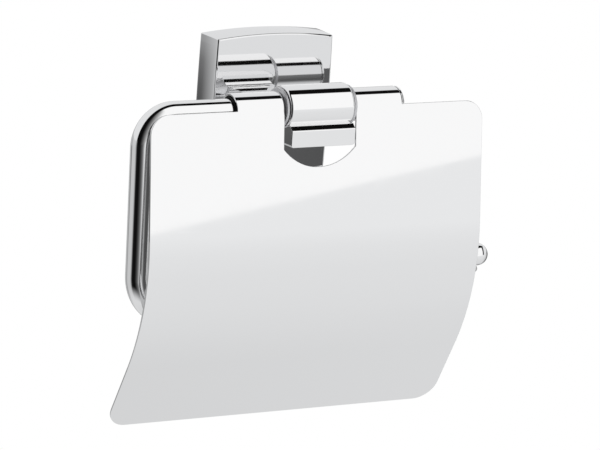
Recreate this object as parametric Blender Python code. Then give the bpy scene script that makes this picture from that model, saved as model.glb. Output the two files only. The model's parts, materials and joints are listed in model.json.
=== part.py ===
"""Toilet paper holder with a hinged rod and a hinged cover, held on a wall.

Metres, +Z up. The wall is the plane y = 0, the holder stands out towards -Y, and the origin is
the middle of the mounting plate's back. The hinge axis runs along X, in front of the rosette.
"""

import math

import bmesh
import bpy
from mathutils import Matrix, Vector

MM = 0.001

# Driving dimensions
FIT_GAP = 0.3 * MM
RUNNING_GAP = 0.2 * MM

AXIS_OUT = 39.5 * MM
AXIS_UP = 4.7 * MM

ROSETTE_FRONT = 48.8 * MM
ROSETTE_BACK = 49.4 * MM
ROSETTE_DEPTH = 12.0 * MM
ROSETTE_BULGE = 1.5 * MM
ROSETTE_WALL = 2.2 * MM
ROSETTE_EDGE = 0.7 * MM
ROSETTE_ARC_STEPS = 16
BOSS_HEIGHT = 3.6 * MM

ROD_RADIUS = 4.1 * MM
ROD_RIGHT_END = 31.0 * MM
ROD_TOP_CORNER = Vector((-68.8 * MM, 0.0))
ROD_LOW_CORNER = Vector((-67.0 * MM, -74.3 * MM))
ROD_TOP_BEND = 11.5 * MM
ROD_LOW_BEND = 15.2 * MM
ROD_TIP = Vector((75.7 * MM, -58.7 * MM))
ROD_GROOVE_RADIUS = 3.4 * MM
ROD_GROOVE_HALF = 2.6 * MM
ROD_CHAMFER = 0.6 * MM
TIP_JOINT = -3.0 * MM
TIP_PEG_RADIUS = 2.0 * MM
TIP_PEG_END = -10.5 * MM

BARREL_RADIUS = 8.0 * MM
BARREL_HALF = 13.2 * MM
BARREL_EDGE = 0.8 * MM
BARREL_BORE = 5.4 * MM
BUSH_BORE = ROD_RADIUS + RUNNING_GAP
BUSH_LENGTH = 5.0 * MM
THRUST_RADIUS = 7.2 * MM

KNUCKLE_RADIUS = 5.9 * MM
KNUCKLE_INNER = 14.9 * MM
KNUCKLE_OUTER = 34.2 * MM
KNUCKLE_TURN = math.radians(305.0)
BUSH_PROUD = 0.4 * MM
CAP_STEP = 0.1 * MM
CAP_RISE = 1.4 * MM
CAP_DOME = [(0.7 * MM, 0.0), (1.1 * MM, 0.5 * MM), (1.3 * MM, 2.0 * MM)]

SHEET = 0.8 * MM
COVER_HALF = 69.0 * MM
COVER_LEAN = math.radians(5.8)
COVER_SWEEP = math.radians(28.9)
COVER_BEND = 83.4 * MM
COVER_STRAIGHT_TOP = 43.9 * MM
COVER_STRAIGHT_LOW = 27.7 * MM
COVER_TOP_CORNER = 7.2 * MM
COVER_LOW_CORNER = 8.0 * MM
NOTCH_STRAIGHT = 14.3 * MM
NOTCH_DEPTH = 21.1 * MM

LIP_TOP = -5.2 * MM
LIP_BOTTOM = -12.8 * MM
LIP_FRONT = -9.2 * MM
LIP_BACK = 9.0 * MM
LIP_SLOPE_DEPTH = 1.8 * MM
LIP_SLOPE_HEIGHT = 1.6 * MM
LIP_CORNER = 1.0 * MM
NECK_HALF = 9.8 * MM
NECK_FRONT = 1.0 * MM
NECK_TOP = -1.0 * MM
NECK_BOTTOM = -12.5 * MM
NECK_FILLET = 6.0 * MM
NECK_OVERLAP = 0.1 * MM

BOLT_HEIGHT = -3.3 * MM
BOLT_RADIUS = 2.5 * MM
BOLT_TIP = -23.6 * MM
BOLT_HEAD_RADIUS = 4.25 * MM
BOLT_HEAD_LENGTH = 3.4 * MM
BOLT_SOCKET = 2.3 * MM
BOLT_CHAMFER = 0.5 * MM
WASHER_RADIUS = 5.0 * MM
WASHER_THICKNESS = 1.0 * MM
PIN_RADIUS = 1.5 * MM
PIN_OFFSET = 5.6 * MM
PIN_REACH = 4.5 * MM

PLATE_THICKNESS = 2.5 * MM
PLATE_HALF_WIDTH = 16.0 * MM
PLATE_TOP = 21.7 * MM
PLATE_BOTTOM = -18.5 * MM
PLATE_TAB_DEPTH = 8.5 * MM
PLATE_TAB = 2.0 * MM
PLATE_HOLE_RADIUS = 2.5 * MM
PLATE_HOLE_X = 10.0 * MM
PLATE_HOLE_Z = 3.0 * MM

GRUB_RADIUS = 2.0 * MM
GRUB_DEPTH = 5.5 * MM
GRUB_SOCKET = 1.15 * MM
GRUB_CHAMFER = 0.4 * MM
ROSETTE_GRUB_BOTTOM = -25.6 * MM
SOCKET_DEPTH = 2.0 * MM

BUMPER_RADIUS = 1.3 * MM
BUMPER_LEFT_X = -48.0 * MM
BUMPER_RIGHT = (69.2 * MM, -61.8 * MM)

HINGE = Vector((0.0, -AXIS_OUT, AXIS_UP))
ROUND = 40
SMALL_ROUND = 24

CHROME = ("chrome", (0.80, 0.80, 0.82), 1.0, 0.06)
STEEL = ("bright_steel", (0.60, 0.60, 0.61), 1.0, 0.30)
BLACK_NYLON = ("black_nylon", (0.02, 0.02, 0.02), 0.0, 0.45)
CLEAR_RUBBER = ("grey_rubber", (0.50, 0.50, 0.50), 0.0, 0.60)


# Scene and objects


def clear_scene():
    for obj in list(bpy.data.objects):
        bpy.data.objects.remove(obj, do_unlink=True)


def make_material(node, finish):
    label, colour, metallic, roughness = finish
    material = bpy.data.materials.new(f"{node}_{label}")
    material.use_nodes = True
    shader = material.node_tree.nodes["Principled BSDF"]
    shader.inputs["Base Color"].default_value = (*colour, 1.0)
    shader.inputs["Metallic"].default_value = metallic
    shader.inputs["Roughness"].default_value = roughness
    return material


def make_empty(name, location, parent=None):
    empty = bpy.data.objects.new(name, None)
    empty.location = location
    empty.empty_display_size = 0.01
    if parent:
        empty.parent = parent
    bpy.context.collection.objects.link(empty)
    return empty


def make_object(name, bm, parent, finish=None):
    """Turn a bmesh, drawn in its parent's frame, into an object. Without a finish it is a cutter."""
    bmesh.ops.recalc_face_normals(bm, faces=bm.faces)
    mesh = bpy.data.meshes.new(name)
    bm.to_mesh(mesh)
    bm.free()
    obj = bpy.data.objects.new(name, mesh)
    obj.parent = parent
    bpy.context.collection.objects.link(obj)
    if finish:
        mesh.materials.append(make_material(name, finish))
        mesh.shade_smooth()
        mesh.set_sharp_from_angle(angle=math.radians(35.0))
    else:
        obj.hide_render = True
        obj.display_type = "WIRE"
    return obj


def add_boolean(obj, other, operation):
    modifier = obj.modifiers.new(f"{operation.lower()}_{other.name}", "BOOLEAN")
    modifier.operation = operation
    modifier.object = other


# Shapes


def frame_along(origin, direction):
    """A matrix that takes local Z to the given direction."""
    turn = Vector(direction).to_track_quat("Z", "Y").to_matrix().to_4x4()
    return Matrix.Translation(Vector(origin)) @ turn


def turned(bm, stations, origin, direction, segments=SMALL_ROUND, ring=False):
    """Turn stations of (distance along, radius) about a line. A ring's stations close on themselves."""
    place = frame_along(origin, direction)
    loops = []
    for along, radius in stations:
        count = segments if radius > 0.0 else 1
        loop = []
        for i in range(count):
            angle = 2.0 * math.pi * i / segments
            point = Vector((radius * math.cos(angle), radius * math.sin(angle), along))
            loop.append(bm.verts.new(place @ point))
        loops.append(loop)
    pairs = list(zip(loops, loops[1:]))
    if ring:
        pairs.append((loops[-1], loops[0]))
    for low, high in pairs:
        for i in range(segments):
            corners = []
            for loop, index in ((low, i), (low, i + 1), (high, i + 1), (high, i)):
                vert = loop[index % len(loop)]
                if vert not in corners:
                    corners.append(vert)
            bm.faces.new(corners)
    if not ring:
        for loop in (loops[0], loops[-1]):
            if len(loop) > 1:
                bm.faces.new(loop)


def prism(bm, outline, place, start, end):
    """Extrude a closed 2D outline along the local Z of a place matrix, from start to end."""
    low = [bm.verts.new(place @ Vector((u, v, start))) for u, v in outline]
    high = [bm.verts.new(place @ Vector((u, v, end))) for u, v in outline]
    bm.faces.new(low)
    bm.faces.new(high)
    for i in range(len(outline)):
        j = (i + 1) % len(outline)
        bm.faces.new((low[i], low[j], high[j], high[i]))


def hexagon(radius):
    return [(radius * math.cos(k * math.pi / 3), radius * math.sin(k * math.pi / 3)) for k in range(6)]


def arc_points(centre, radius, start, end, steps):
    """Points on an arc, with both ends, angles in radians."""
    points = []
    for i in range(steps + 1):
        angle = start + (end - start) * i / steps
        points.append((centre[0] + radius * math.cos(angle), centre[1] + radius * math.sin(angle)))
    return points


def side_view():
    """A place matrix for outlines drawn as (y, z) and extruded along X."""
    return Matrix(((0, 0, 1, 0), (1, 0, 0, 0), (0, 1, 0, 0), (0, 0, 0, 1)))


def screw_stations(start, length, radius, chamfer):
    return [
        (start, 0.0),
        (start, radius - chamfer),
        (start + chamfer, radius),
        (start + length - chamfer, radius),
        (start + length, radius - chamfer),
        (start + length, 0.0),
    ]


def cut_cylinder(obj, name, origin, direction, length, radius, segments=SMALL_ROUND):
    bm = bmesh.new()
    turned(bm, [(0.0, radius), (length, radius)], origin, direction, segments)
    add_boolean(obj, make_object(name, bm, obj.parent), "DIFFERENCE")


def cut_socket(obj, origin, direction, radius):
    """A hexagon socket from a screw's end inwards."""
    bm = bmesh.new()
    prism(bm, hexagon(radius), frame_along(origin, direction), -MM, SOCKET_DEPTH)
    add_boolean(obj, make_object(f"{obj.name}_socket_tool", bm, obj.parent), "DIFFERENCE")


# Wall side


def rosette_outline(width, inset=0.0):
    """A square whose top and bottom edges bow outwards, as (x, z) points."""
    half = width / 2 - inset
    chord = half
    radius = (chord**2 + ROSETTE_BULGE**2) / (2 * ROSETTE_BULGE)
    spread = math.asin(chord / radius)
    centre = half + ROSETTE_BULGE - radius
    up = math.pi / 2
    top = arc_points((0.0, centre), radius, up + spread, up - spread, ROSETTE_ARC_STEPS)
    bottom = [(-x, -z) for x, z in top]
    return top + bottom


def make_wall_rosette(parent):
    bm = bmesh.new()
    rim = -ROSETTE_DEPTH + ROSETTE_EDGE
    layers = [
        (-ROSETTE_DEPTH, rosette_outline(ROSETTE_FRONT, ROSETTE_EDGE)),
        (rim, rosette_outline(ROSETTE_FRONT)),
        (0.0, rosette_outline(ROSETTE_BACK)),
        (0.0, rosette_outline(ROSETTE_BACK, ROSETTE_WALL)),
        (-ROSETTE_DEPTH + ROSETTE_WALL, rosette_outline(ROSETTE_FRONT, ROSETTE_WALL)),
    ]
    loops = [[bm.verts.new((x, y, z)) for x, z in outline] for y, outline in layers]
    bm.faces.new(loops[0])
    bm.faces.new(loops[-1])
    for low, high in zip(loops, loops[1:]):
        for i in range(len(low)):
            j = (i + 1) % len(low)
            bm.faces.new((low[i], low[j], high[j], high[i]))
    rosette = make_object("wall_rosette", bm, parent, CHROME)

    bm = bmesh.new()
    inner_bottom = -(ROSETTE_BACK / 2 - ROSETTE_WALL + ROSETTE_BULGE)
    boss = [(-1.0 * MM, 2 * GRUB_RADIUS), (BOSS_HEIGHT, 2 * GRUB_RADIUS)]
    turned(bm, boss, (0.0, -GRUB_DEPTH, inner_bottom), (0, 0, 1))
    add_boolean(rosette, make_object("rosette_boss_tool", bm, parent), "UNION")

    below = -ROSETTE_BACK
    hole = GRUB_RADIUS + FIT_GAP
    cut_cylinder(rosette, "rosette_grub_tool", (0, -GRUB_DEPTH, below), (0, 0, 1), -below - 10 * MM, hole)
    ahead = -ROSETTE_DEPTH - 2 * MM
    through = ROSETTE_WALL + 4 * MM
    hole = BOLT_RADIUS + FIT_GAP
    cut_cylinder(rosette, "rosette_bolt_tool", (0, ahead, BOLT_HEIGHT), (0, 1, 0), through, hole)
    for side, x in (("left", -PIN_OFFSET), ("right", PIN_OFFSET)):
        name = f"rosette_{side}_pin_tool"
        cut_cylinder(rosette, name, (x, ahead, BOLT_HEIGHT), (0, 1, 0), through, PIN_RADIUS + FIT_GAP)


def make_mounting_plate(parent):
    outline = [
        (0.0, PLATE_BOTTOM),
        (0.0, PLATE_TOP),
        (-PLATE_TAB_DEPTH, PLATE_TOP),
        (-PLATE_TAB_DEPTH, PLATE_TOP - PLATE_TAB),
        (-PLATE_THICKNESS, PLATE_TOP - PLATE_TAB),
        (-PLATE_THICKNESS, PLATE_BOTTOM + PLATE_TAB),
        (-PLATE_TAB_DEPTH, PLATE_BOTTOM + PLATE_TAB),
        (-PLATE_TAB_DEPTH, PLATE_BOTTOM),
    ]
    bm = bmesh.new()
    prism(bm, outline, side_view(), -PLATE_HALF_WIDTH, PLATE_HALF_WIDTH)
    plate = make_object("mounting_plate", bm, parent, STEEL)
    for side, x in (("left", -PLATE_HOLE_X), ("right", PLATE_HOLE_X)):
        start = (x, -PLATE_THICKNESS - 1 * MM, PLATE_HOLE_Z)
        cut_cylinder(plate, f"plate_{side}_tool", start, (0, 1, 0), 5 * MM, PLATE_HOLE_RADIUS)


def make_rosette_grub_screw(parent):
    bottom = ROSETTE_GRUB_BOTTOM
    length = PLATE_BOTTOM - FIT_GAP - bottom
    bm = bmesh.new()
    turned(bm, screw_stations(0.0, length, GRUB_RADIUS, GRUB_CHAMFER), (0, -GRUB_DEPTH, bottom), (0, 0, 1))
    screw = make_object("rosette_grub_screw", bm, parent, STEEL)
    cut_socket(screw, (0, -GRUB_DEPTH, bottom), (0, 0, 1), GRUB_SOCKET)


def make_arm_bolt(parent):
    washer_back = -ROSETTE_DEPTH + ROSETTE_WALL + FIT_GAP
    head_back = washer_back + WASHER_THICKNESS + FIT_GAP
    head_end = head_back + BOLT_HEAD_LENGTH
    stations = [
        (BOLT_TIP, 0.0),
        (BOLT_TIP, BOLT_RADIUS - BOLT_CHAMFER),
        (BOLT_TIP + BOLT_CHAMFER, BOLT_RADIUS),
        (head_back, BOLT_RADIUS),
        (head_back, BOLT_HEAD_RADIUS),
        (head_end - BOLT_CHAMFER, BOLT_HEAD_RADIUS),
        (head_end, BOLT_HEAD_RADIUS - BOLT_CHAMFER),
        (head_end, 0.0),
    ]
    centre = (0, 0, BOLT_HEIGHT)
    bm = bmesh.new()
    turned(bm, stations, centre, (0, 1, 0))
    bolt = make_object("arm_bolt", bm, parent, STEEL)
    cut_socket(bolt, (0, head_end, BOLT_HEIGHT), (0, -1, 0), BOLT_SOCKET)

    stations = [
        (washer_back, BOLT_RADIUS + FIT_GAP),
        (washer_back, WASHER_RADIUS),
        (washer_back + WASHER_THICKNESS, WASHER_RADIUS),
        (washer_back + WASHER_THICKNESS, BOLT_RADIUS + FIT_GAP),
    ]
    bm = bmesh.new()
    turned(bm, stations, centre, (0, 1, 0), ring=True)
    make_object("arm_bolt_washer", bm, parent, STEEL)


def make_locating_pins(parent):
    start = -ROSETTE_DEPTH - PIN_REACH
    end = -ROSETTE_DEPTH + ROSETTE_WALL - FIT_GAP
    for name, x in (("left_locating_pin", -PIN_OFFSET), ("right_locating_pin", PIN_OFFSET)):
        bm = bmesh.new()
        turned(bm, screw_stations(start, end - start, PIN_RADIUS, 0.3 * MM), (x, 0, BOLT_HEIGHT), (0, 1, 0))
        make_object(name, bm, parent, STEEL)


# Arm, drawn about the hinge axis


def lip_side():
    """The lip from the side, as (y, z), with a slope along its top front edge."""
    return [
        (LIP_BACK, LIP_BOTTOM),
        (LIP_FRONT, LIP_BOTTOM),
        (LIP_FRONT, LIP_TOP - LIP_SLOPE_HEIGHT),
        (LIP_FRONT + LIP_SLOPE_DEPTH, LIP_TOP),
        (LIP_BACK, LIP_TOP),
    ]


def lip_front():
    """The lip from the front, as (x, z), with its two lower corners rounded."""
    right = BARREL_HALF - LIP_CORNER
    low = LIP_BOTTOM + LIP_CORNER
    points = [(BARREL_HALF, 0.0), (-BARREL_HALF, 0.0)]
    points += arc_points((-right, low), LIP_CORNER, math.pi, 1.5 * math.pi, 5)
    points += arc_points((right, low), LIP_CORNER, 1.5 * math.pi, 2.0 * math.pi, 5)
    return points


def front_view():
    """A place matrix for outlines drawn as (x, z) and extruded along Y."""
    return Matrix(((1, 0, 0, 0), (0, 0, 1, 0), (0, 1, 0, 0), (0, 0, 0, 1)))


def neck_side():
    """The neck from the side, as (y, z): it meets the barrel in a fillet above."""
    back = AXIS_OUT - ROSETTE_DEPTH - FIT_GAP
    middle_z = NECK_TOP + NECK_FILLET
    middle_y = math.sqrt((BARREL_RADIUS + NECK_FILLET - NECK_OVERLAP) ** 2 - middle_z**2)
    meets = math.pi + math.atan2(middle_z, middle_y)
    fillet = arc_points((middle_y, middle_z), NECK_FILLET, 1.5 * math.pi, meets, 10)
    below = [(NECK_FRONT, NECK_BOTTOM), (back, NECK_BOTTOM), (back, NECK_TOP)]
    return below + fillet + [(NECK_FRONT, fillet[-1][1])]


def make_arm(parent):
    corner = (BARREL_HALF - BARREL_EDGE, BARREL_RADIUS - BARREL_EDGE)
    round_end = arc_points(corner, BARREL_EDGE, 0.5 * math.pi, 0.0, 3)
    stations = [(-x, radius) for x, radius in reversed(round_end)] + round_end
    bm = bmesh.new()
    turned(bm, stations, (0, 0, 0), (1, 0, 0), ROUND)
    arm = make_object("arm", bm, parent, CHROME)

    bm = bmesh.new()
    prism(bm, lip_front(), front_view(), LIP_FRONT - MM, LIP_BACK + MM)
    lip = make_object("arm_lip_tool", bm, parent)
    bm = bmesh.new()
    prism(bm, lip_side(), side_view(), -BARREL_HALF - MM, BARREL_HALF + MM)
    add_boolean(lip, make_object("arm_lip_side_tool", bm, parent), "INTERSECT")
    add_boolean(arm, lip, "UNION")

    bm = bmesh.new()
    prism(bm, neck_side(), side_view(), -NECK_HALF, NECK_HALF)
    add_boolean(arm, make_object("arm_neck_tool", bm, parent), "UNION")

    length = 2 * (BARREL_HALF + MM)
    cut_cylinder(arm, "arm_bore_tool", (-length / 2, 0, 0), (1, 0, 0), length, BARREL_BORE, ROUND)
    grub_start = LIP_BOTTOM - MM
    cut_cylinder(arm, "arm_grub_tool", (0, 0, grub_start), (0, 0, 1), -grub_start, GRUB_RADIUS + FIT_GAP)
    height = BOLT_HEIGHT - AXIS_UP
    back = AXIS_OUT - ROSETTE_DEPTH - FIT_GAP + MM
    bolt_depth = back - (BOLT_TIP + AXIS_OUT - FIT_GAP)
    cut_cylinder(arm, "arm_bolt_tool", (0, back, height), (0, -1, 0), bolt_depth, BOLT_RADIUS + FIT_GAP)
    for side, x in (("left", -PIN_OFFSET), ("right", PIN_OFFSET)):
        name = f"arm_{side}_pin_tool"
        pin_depth = MM + PIN_REACH
        cut_cylinder(arm, name, (x, back, height), (0, -1, 0), pin_depth, PIN_RADIUS + FIT_GAP)


def make_axle_grub_screw(parent):
    bottom = LIP_BOTTOM + 0.5 * MM
    top = -ROD_GROOVE_RADIUS - FIT_GAP
    bm = bmesh.new()
    turned(bm, screw_stations(0.0, top - bottom, GRUB_RADIUS, GRUB_CHAMFER), (0, 0, bottom), (0, 0, 1))
    screw = make_object("axle_grub_screw", bm, parent, STEEL)
    cut_socket(screw, (0, 0, bottom), (0, 0, 1), GRUB_SOCKET)


def make_sleeve(name, start, end, outer, parent, finish=BLACK_NYLON):
    stations = [(start, BUSH_BORE), (start, outer), (end, outer), (end, BUSH_BORE)]
    bm = bmesh.new()
    turned(bm, stations, (0, 0, 0), (1, 0, 0), ROUND, ring=True)
    make_object(name, bm, parent, finish)


def clear_flange(obj, side):
    """Cut a flange flat in front, where it lies beside the knuckle and behind the sheet's top edge."""
    y, z, _ = cover_section(0.0)
    back = y + SHEET + FIT_GAP
    top = z + FIT_GAP
    far = -2 * KNUCKLE_RADIUS
    outline = [(far, far), (back, far), (back, top), (far, top)]
    start = side * (KNUCKLE_OUTER + FIT_GAP / 2)
    bm = bmesh.new()
    prism(bm, outline, side_view(), start, start + side * KNUCKLE_RADIUS)
    add_boolean(obj, make_object(f"{obj.name}_flat_tool", bm, obj.parent), "DIFFERENCE")


def make_knuckle_cap(parent):
    sleeve = KNUCKLE_RADIUS - SHEET - RUNNING_GAP
    flange = KNUCKLE_RADIUS - CAP_STEP
    flange_in = KNUCKLE_OUTER + FIT_GAP
    stations = [
        (ROD_RIGHT_END + 1.0 * MM, 0.0),
        (ROD_RIGHT_END + 1.0 * MM, sleeve),
        (flange_in, sleeve),
        (flange_in, flange),
    ]
    stations += [(flange_in + along, flange - inward) for along, inward in CAP_DOME]
    stations.append((flange_in + CAP_RISE, 0.0))
    bm = bmesh.new()
    turned(bm, stations, (0, 0, 0), (1, 0, 0), ROUND)
    clear_flange(make_object("right_knuckle_cap", bm, parent, CHROME), 1)


# Rod, drawn about the hinge axis in the plane y = 0 as (x, z)


def rounded_corner(corner, arriving, leaving, radius, steps):
    """Centre-line points of a bend that rounds a corner, with both ends."""
    turn = arriving.angle(leaving)
    side = 1.0 if arriving.x * leaving.y - arriving.y * leaving.x > 0 else -1.0
    inward = Vector((-arriving.y, arriving.x)) * side
    centre = corner - arriving * radius * math.tan(turn / 2) + inward * radius
    points = []
    for i in range(steps + 1):
        angle = turn * i / steps
        points.append(centre - inward * radius * math.cos(angle) + arriving * radius * math.sin(angle))
    return points


def bar_direction():
    return (ROD_TIP - ROD_LOW_CORNER).normalized()


def rod_path():
    """Centre-line stations of (point, radius) from the axle's right end to the bar's end."""
    groove_in = ROD_GROOVE_HALF
    axle = [
        (ROD_RIGHT_END, ROD_RADIUS - ROD_CHAMFER),
        (ROD_RIGHT_END - ROD_CHAMFER, ROD_RADIUS),
        (groove_in, ROD_RADIUS),
        (groove_in, ROD_GROOVE_RADIUS),
        (-groove_in, ROD_GROOVE_RADIUS),
        (-groove_in, ROD_RADIUS),
    ]
    path = [(Vector((x, 0.0)), radius) for x, radius in axle]
    left = Vector((-1.0, 0.0))
    down = (ROD_LOW_CORNER - ROD_TOP_CORNER).normalized()
    right = bar_direction()
    bends = rounded_corner(ROD_TOP_CORNER, left, down, ROD_TOP_BEND, 9)
    bends += rounded_corner(ROD_LOW_CORNER, down, right, ROD_LOW_BEND, 9)
    path += [(point, ROD_RADIUS) for point in bends]
    path.append((ROD_TIP + right * TIP_JOINT, ROD_RADIUS))
    return path


def path_side(points, index):
    """The in-plane direction square to the path at a point."""
    before = points[max(index - 1, 0)]
    after = points[min(index + 1, len(points) - 1)]
    along = (after - before).normalized()
    return Vector((-along.y, along.x))


def make_roll_rod(parent):
    stations = rod_path()
    points = [point for point, _ in stations]
    bm = bmesh.new()
    loops = []
    for index, (point, radius) in enumerate(stations):
        side = path_side(points, index)
        loop = []
        for k in range(SMALL_ROUND):
            angle = 2.0 * math.pi * k / SMALL_ROUND
            spot = point + side * radius * math.cos(angle)
            loop.append(bm.verts.new((spot.x, radius * math.sin(angle), spot.y)))
        loops.append(loop)
    for low, high in zip(loops, loops[1:]):
        for k in range(SMALL_ROUND):
            j = (k + 1) % SMALL_ROUND
            bm.faces.new((low[k], low[j], high[j], high[k]))
    bm.faces.new(loops[0])
    bm.faces.new(loops[-1])
    rod = make_object("roll_rod", bm, parent, CHROME)
    along = bar_direction()
    start = (ROD_TIP.x, 0.0, ROD_TIP.y)
    direction = (-along.x, 0.0, -along.y)
    depth = FIT_GAP - TIP_PEG_END
    cut_cylinder(rod, "rod_end_hole_tool", start, direction, depth, TIP_PEG_RADIUS + FIT_GAP)


def make_rod_end_cap(parent):
    along = bar_direction()
    joint = TIP_JOINT + FIT_GAP
    stations = [
        (TIP_PEG_END, 0.0),
        (TIP_PEG_END, TIP_PEG_RADIUS),
        (joint, TIP_PEG_RADIUS),
        (joint, ROD_RADIUS),
        (0.0, ROD_RADIUS),
    ]
    steps = 6
    for i in range(1, steps):
        angle = 0.5 * math.pi * i / steps
        stations.append((ROD_RADIUS * math.sin(angle), ROD_RADIUS * math.cos(angle)))
    stations.append((ROD_RADIUS, 0.0))
    bm = bmesh.new()
    turned(bm, stations, (ROD_TIP.x, 0.0, ROD_TIP.y), (along.x, 0.0, along.y))
    make_object("rod_end_cap", bm, parent, CHROME)


# Cover, drawn about the hinge axis


def cover_length():
    return COVER_STRAIGHT_TOP + COVER_BEND * (COVER_LEAN + COVER_SWEEP) + COVER_STRAIGHT_LOW


def cover_section(s):
    """Outer face of the sheet, s metres down from where it leaves the knuckle: (y, z, lean)."""
    y = -KNUCKLE_RADIUS * math.cos(COVER_LEAN)
    z = KNUCKLE_RADIUS * math.sin(COVER_LEAN)
    if s < 0.0:
        lean = COVER_LEAN - s / KNUCKLE_RADIUS
        return -KNUCKLE_RADIUS * math.cos(lean), KNUCKLE_RADIUS * math.sin(lean), lean
    straight = min(s, COVER_STRAIGHT_TOP)
    y -= straight * math.sin(COVER_LEAN)
    z -= straight * math.cos(COVER_LEAN)
    bend = min(max(s - COVER_STRAIGHT_TOP, 0.0), COVER_BEND * (COVER_LEAN + COVER_SWEEP))
    lean = COVER_LEAN - bend / COVER_BEND
    y -= COVER_BEND * (math.cos(lean) - math.cos(COVER_LEAN))
    z -= COVER_BEND * (math.sin(COVER_LEAN) - math.sin(lean))
    rest = max(s - COVER_STRAIGHT_TOP - COVER_BEND * (COVER_LEAN + COVER_SWEEP), 0.0)
    y -= rest * math.sin(lean)
    z -= rest * math.cos(lean)
    return y, z, lean


def cover_outline():
    """The flat blank as (x, s), with the notch for the arm and the two tabs for the knuckles."""
    tab = -KNUCKLE_RADIUS * KNUCKLE_TURN
    end = cover_length()
    top = COVER_HALF - COVER_TOP_CORNER
    low = COVER_HALF - COVER_LOW_CORNER
    sagitta = NOTCH_DEPTH - NOTCH_STRAIGHT
    radius = (KNUCKLE_INNER**2 + sagitta**2) / (2 * sagitta)
    centre = NOTCH_DEPTH - radius
    spread = math.asin(KNUCKLE_INNER / radius)
    up = math.pi / 2
    right = [(KNUCKLE_INNER, tab), (KNUCKLE_OUTER, tab), (KNUCKLE_OUTER, 0.0)]
    right += arc_points((top, COVER_TOP_CORNER), COVER_TOP_CORNER, -up, 0.0, 6)
    right += arc_points((low, end - COVER_LOW_CORNER), COVER_LOW_CORNER, 0.0, up, 6)
    left = [(-x, s) for x, s in reversed(right)]
    notch = arc_points((0.0, centre), radius, up + spread, up - spread, 16)
    return right + left + notch


def cut_lines():
    """Distances down the sheet where it needs an edge to bend."""
    lines = []
    curl_steps = 30
    for i in range(curl_steps):
        lines.append(-KNUCKLE_RADIUS * KNUCKLE_TURN * i / curl_steps)
    bend_steps = 14
    bend = COVER_BEND * (COVER_LEAN + COVER_SWEEP)
    for i in range(bend_steps + 1):
        lines.append(COVER_STRAIGHT_TOP + bend * i / bend_steps)
    return lines


def make_cover_plate(parent):
    bm = bmesh.new()
    bm.faces.new([bm.verts.new((x, s, 0.0)) for x, s in cover_outline()])
    for s in cut_lines():
        geometry = bm.verts[:] + bm.edges[:] + bm.faces[:]
        bmesh.ops.bisect_plane(bm, geom=geometry, dist=1e-7, plane_co=(0, s, 0), plane_no=(0, 1, 0))
    outer_faces = bm.faces[:]
    rim = [edge for edge in bm.edges if edge.is_boundary]
    inner = {}
    for vert in bm.verts[:]:
        x, s, _ = vert.co
        y, z, lean = cover_section(s)
        vert.co = (x, y, z)
        inner[vert] = bm.verts.new((x, y + SHEET * math.cos(lean), z - SHEET * math.sin(lean)))
    for face in outer_faces:
        bm.faces.new([inner[vert] for vert in reversed(face.verts)])
    for edge in rim:
        first, second = edge.verts
        bm.faces.new((first, second, inner[second], inner[first]))
    make_object("cover_plate", bm, parent, CHROME)


def section_at_height(height):
    """The distance down the sheet whose outer face is at a height below the hinge axis."""
    low, high = 0.0, cover_length()
    for _ in range(40):
        middle = (low + high) / 2
        if cover_section(middle)[1] > height:
            low = middle
        else:
            high = middle
    return low


def make_bumper(name, x, height, reach, parent):
    """A nub on the inside of the cover, as far as reach (a y value), where it meets the rod."""
    y, _, lean = cover_section(section_at_height(height))
    base = y + SHEET / math.cos(lean) + BUMPER_RADIUS * abs(math.tan(lean)) + FIT_GAP
    dome = 0.5 * MM
    length = reach - base
    stations = [
        (0.0, 0.0),
        (0.0, BUMPER_RADIUS),
        (length - dome, BUMPER_RADIUS),
        (length - 0.3 * dome, 0.7 * BUMPER_RADIUS),
        (length, 0.0),
    ]
    bm = bmesh.new()
    turned(bm, stations, (x, base, height), (0, 1, 0), 16)
    make_object(name, bm, parent, CLEAR_RUBBER)


def rod_front(x, height):
    """The y of the bar's front face at a place near its centre line."""
    along = bar_direction()
    away = Vector((x, height)) - ROD_TIP
    offset = abs(away.x * along.y - away.y * along.x)
    return -math.sqrt(ROD_RADIUS**2 - offset**2)


def make_bumpers(parent):
    along = bar_direction()
    left = (BUMPER_LEFT_X, ROD_LOW_CORNER.y + (BUMPER_LEFT_X - ROD_LOW_CORNER.x) * along.y / along.x)
    for name, (x, height) in (("cover_bumper_left", left), ("cover_bumper_right", BUMPER_RIGHT)):
        make_bumper(name, x, height, rod_front(x, height) - FIT_GAP, parent)


# Assembly


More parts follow.
